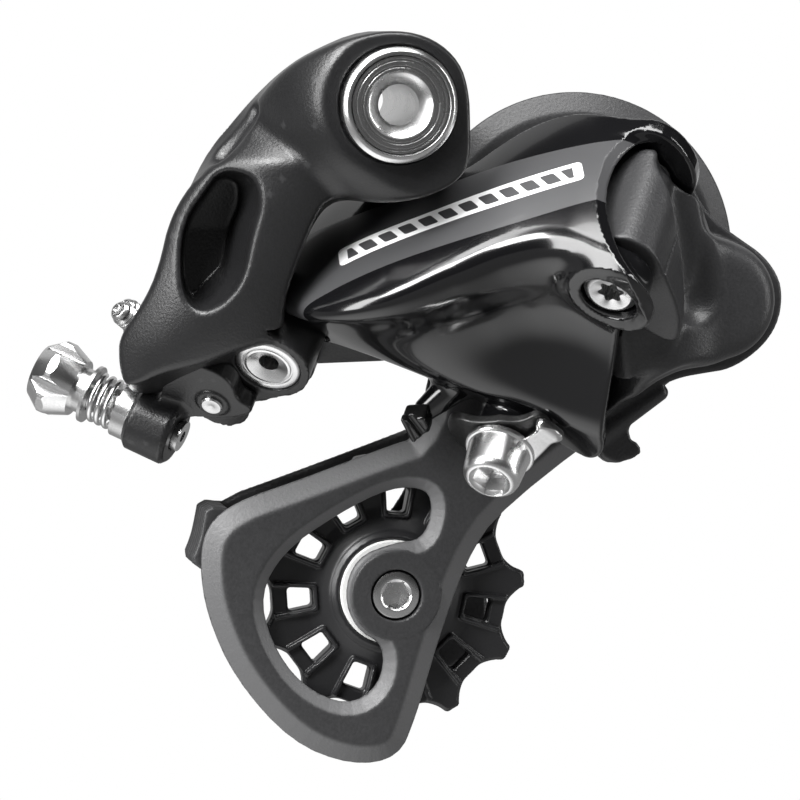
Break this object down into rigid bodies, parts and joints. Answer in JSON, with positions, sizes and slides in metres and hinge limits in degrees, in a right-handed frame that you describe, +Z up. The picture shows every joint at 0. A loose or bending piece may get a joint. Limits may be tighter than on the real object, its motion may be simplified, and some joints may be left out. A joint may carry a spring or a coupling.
{
  "type": "rear bicycle derailleur",
  "caption": "Short-cage rear derailleur with a slanted parallelogram, sprung pulley cage, barrel adjuster and hollow hanger bolt.",
  "frame": {"origin": "hanger bolt axis at the plane where the frame's hanger face rests", "axes": "+X to the bicycle's front, +Y inboard along the hanger bolt towards the wheel, +Z up"},
  "size_m": [0.1141, 0.0681, 0.1148],
  "materials": {
    "polished_steel": "polished and turned, bright",
    "brushed_steel": "turned, satin",
    "spring_steel": "drawn wire",
    "dark_steel": "blackened, satin",
    "brushed_alloy": "turned, clear anodised",
    "satin_black_alloy": "satin black, fine grain",
    "gloss_black_alloy": "gloss black with a satin grey band and a plain white stripe",
    "matte_black_alloy": "matte black, blasted grain",
    "black_composite": "fibre-filled composite, satin grain",
    "gloss_black_plastic": "moulded, glossy",
    "pulley_plastic": "moulded, satin",
    "bushing_plastic": "moulded, plain",
    "pale_plastic": "moulded, plain"
  },
  "bodies": {
    "hanger_fixing": {"hanger_bolt": "polished_steel", "hanger_stop_plate": "brushed_steel", "hanger_bolt_clip": "brushed_steel"},
    "upper_knuckle": {"upper_body": "satin_black_alloy", "hanger_bushing": "bushing_plastic", "hanger_spring": "spring_steel", "upper_outer_pin": "polished_steel", "upper_inner_pin": "brushed_steel", "return_spring": "spring_steel", "adjuster_carrier": "satin_black_alloy", "carrier_pin": "dark_steel", "adjuster_sleeve": "brushed_alloy", "adjuster_spring": "spring_steel"},
    "adjuster_ring": {"adjuster_washer": "brushed_steel"},
    "adjuster": {"barrel_adjuster": "brushed_alloy"},
    "screw_high": {"limit_screw_high": "brushed_steel"},
    "screw_low": {"limit_screw_low": "brushed_steel"},
    "outer_arm": {"outer_link": "gloss_black_alloy", "outer_link_bushes": "bushing_plastic", "cable_clamp_washer": "dark_steel", "cable_clamp_bolt": "polished_steel", "cable_guide": "gloss_black_plastic"},
    "inner_arm": {"inner_link": "matte_black_alloy", "inner_link_bushes": "bushing_plastic"},
    "lower_knuckle": {"lower_body": "black_composite", "lower_outer_screw": "polished_steel", "lower_inner_pin": "brushed_steel", "cage_spring": "spring_steel"},
    "cage": {"cage_outer_plate": "matte_black_alloy", "cage_inner_plate": "matte_black_alloy", "cage_pivot_axle": "brushed_steel", "upper_pulley_sleeve": "brushed_alloy", "upper_pulley_bolt": "brushed_alloy", "lower_pulley_sleeve": "brushed_alloy", "lower_pulley_bolt": "brushed_alloy"},
    "guide_wheel": {"upper_pulley": "pulley_plastic", "upper_pulley_bearing": "brushed_steel", "upper_pulley_seals": "pale_plastic"},
    "tension_wheel": {"lower_pulley": "pulley_plastic", "lower_pulley_bearing": "brushed_steel", "lower_pulley_seals": "pale_plastic"}
  },
  "joints": [
    {"name": "hanger_pivot", "type": "hinge", "parent": "hanger_fixing", "child": "upper_knuckle", "pos_m": [0, -0.012, 0], "axis": [0, 1, 0], "range_deg": [0, 30], "stiffness_Nm_per_rad": 0.3, "springref_deg": -34.38},
    {"name": "outer_arm_swing", "type": "hinge", "parent": "upper_knuckle", "child": "outer_arm", "pos_m": [-0.01264, 0.00362, -0.03253], "axis": [0.3802, 0.6353, 0.6723], "range_deg": [0, 55], "stiffness_Nm_per_rad": 0.25, "springref_deg": -45.84},
    {"name": "inner_arm_swing", "type": "hinge", "parent": "upper_knuckle", "child": "inner_arm", "pos_m": [-0.00932, 0.01805, -0.03614], "axis": [0.3802, 0.6353, 0.6723], "range_deg": [0, 55]},
    {"name": "lower_knuckle_swing", "type": "hinge", "parent": "outer_arm", "child": "lower_knuckle", "pos_m": [0.0369, -0.01914, -0.01821], "axis": [0.3802, 0.6353, 0.6723], "range_deg": [-55, 0]},
    {"name": "cage_swing", "type": "hinge", "parent": "lower_knuckle", "child": "cage", "pos_m": [0.052, 0, -0.0314], "axis": [0, -1, 0], "range_deg": [0, 100], "stiffness_Nm_per_rad": 0.04, "springref_deg": -85.94},
    {"name": "guide_wheel_spin", "type": "hinge", "parent": "cage", "child": "guide_wheel", "pos_m": [0.033, 0.0123, -0.0245], "axis": [0, 1, 0], "continuous": true},
    {"name": "tension_wheel_spin", "type": "hinge", "parent": "cage", "child": "tension_wheel", "pos_m": [0.0045, 0.0123, -0.0775], "axis": [0, 1, 0], "continuous": true},
    {"name": "adjuster_travel", "type": "slide", "parent": "upper_knuckle", "child": "adjuster_ring", "axis": [0.8357, -0.3859, -0.3908], "range_m": [-0.003, 0.001], "deforming": ["adjuster_spring"]},
    {"name": "adjuster_turn", "type": "hinge", "parent": "adjuster_ring", "child": "adjuster", "pos_m": [-0.0325, 0.009, -0.0505], "axis": [0.8357, -0.3859, -0.3908], "range_deg": [-1085, 362]},
    {"name": "high_limit_turn", "type": "hinge", "parent": "upper_knuckle", "child": "screw_high", "pos_m": [-0.0375, 0.0025, -0.0335], "axis": [0.6102, 0.6102, -0.5052], "range_deg": [-360, 360]},
    {"name": "low_limit_turn", "type": "hinge", "parent": "upper_knuckle", "child": "screw_low", "pos_m": [-0.0359, 0.0085, -0.0335], "axis": [0.6102, 0.6102, -0.5052], "range_deg": [-360, 360]}
  ],
  "couplings": [
    {"joint": "inner_arm_swing", "follows": "outer_arm_swing", "ratio": 1},
    {"joint": "lower_knuckle_swing", "follows": "outer_arm_swing", "ratio": -1},
    {"joint": "adjuster_turn", "follows": "adjuster_travel", "rad_per_m": 6283.2}
  ]
}
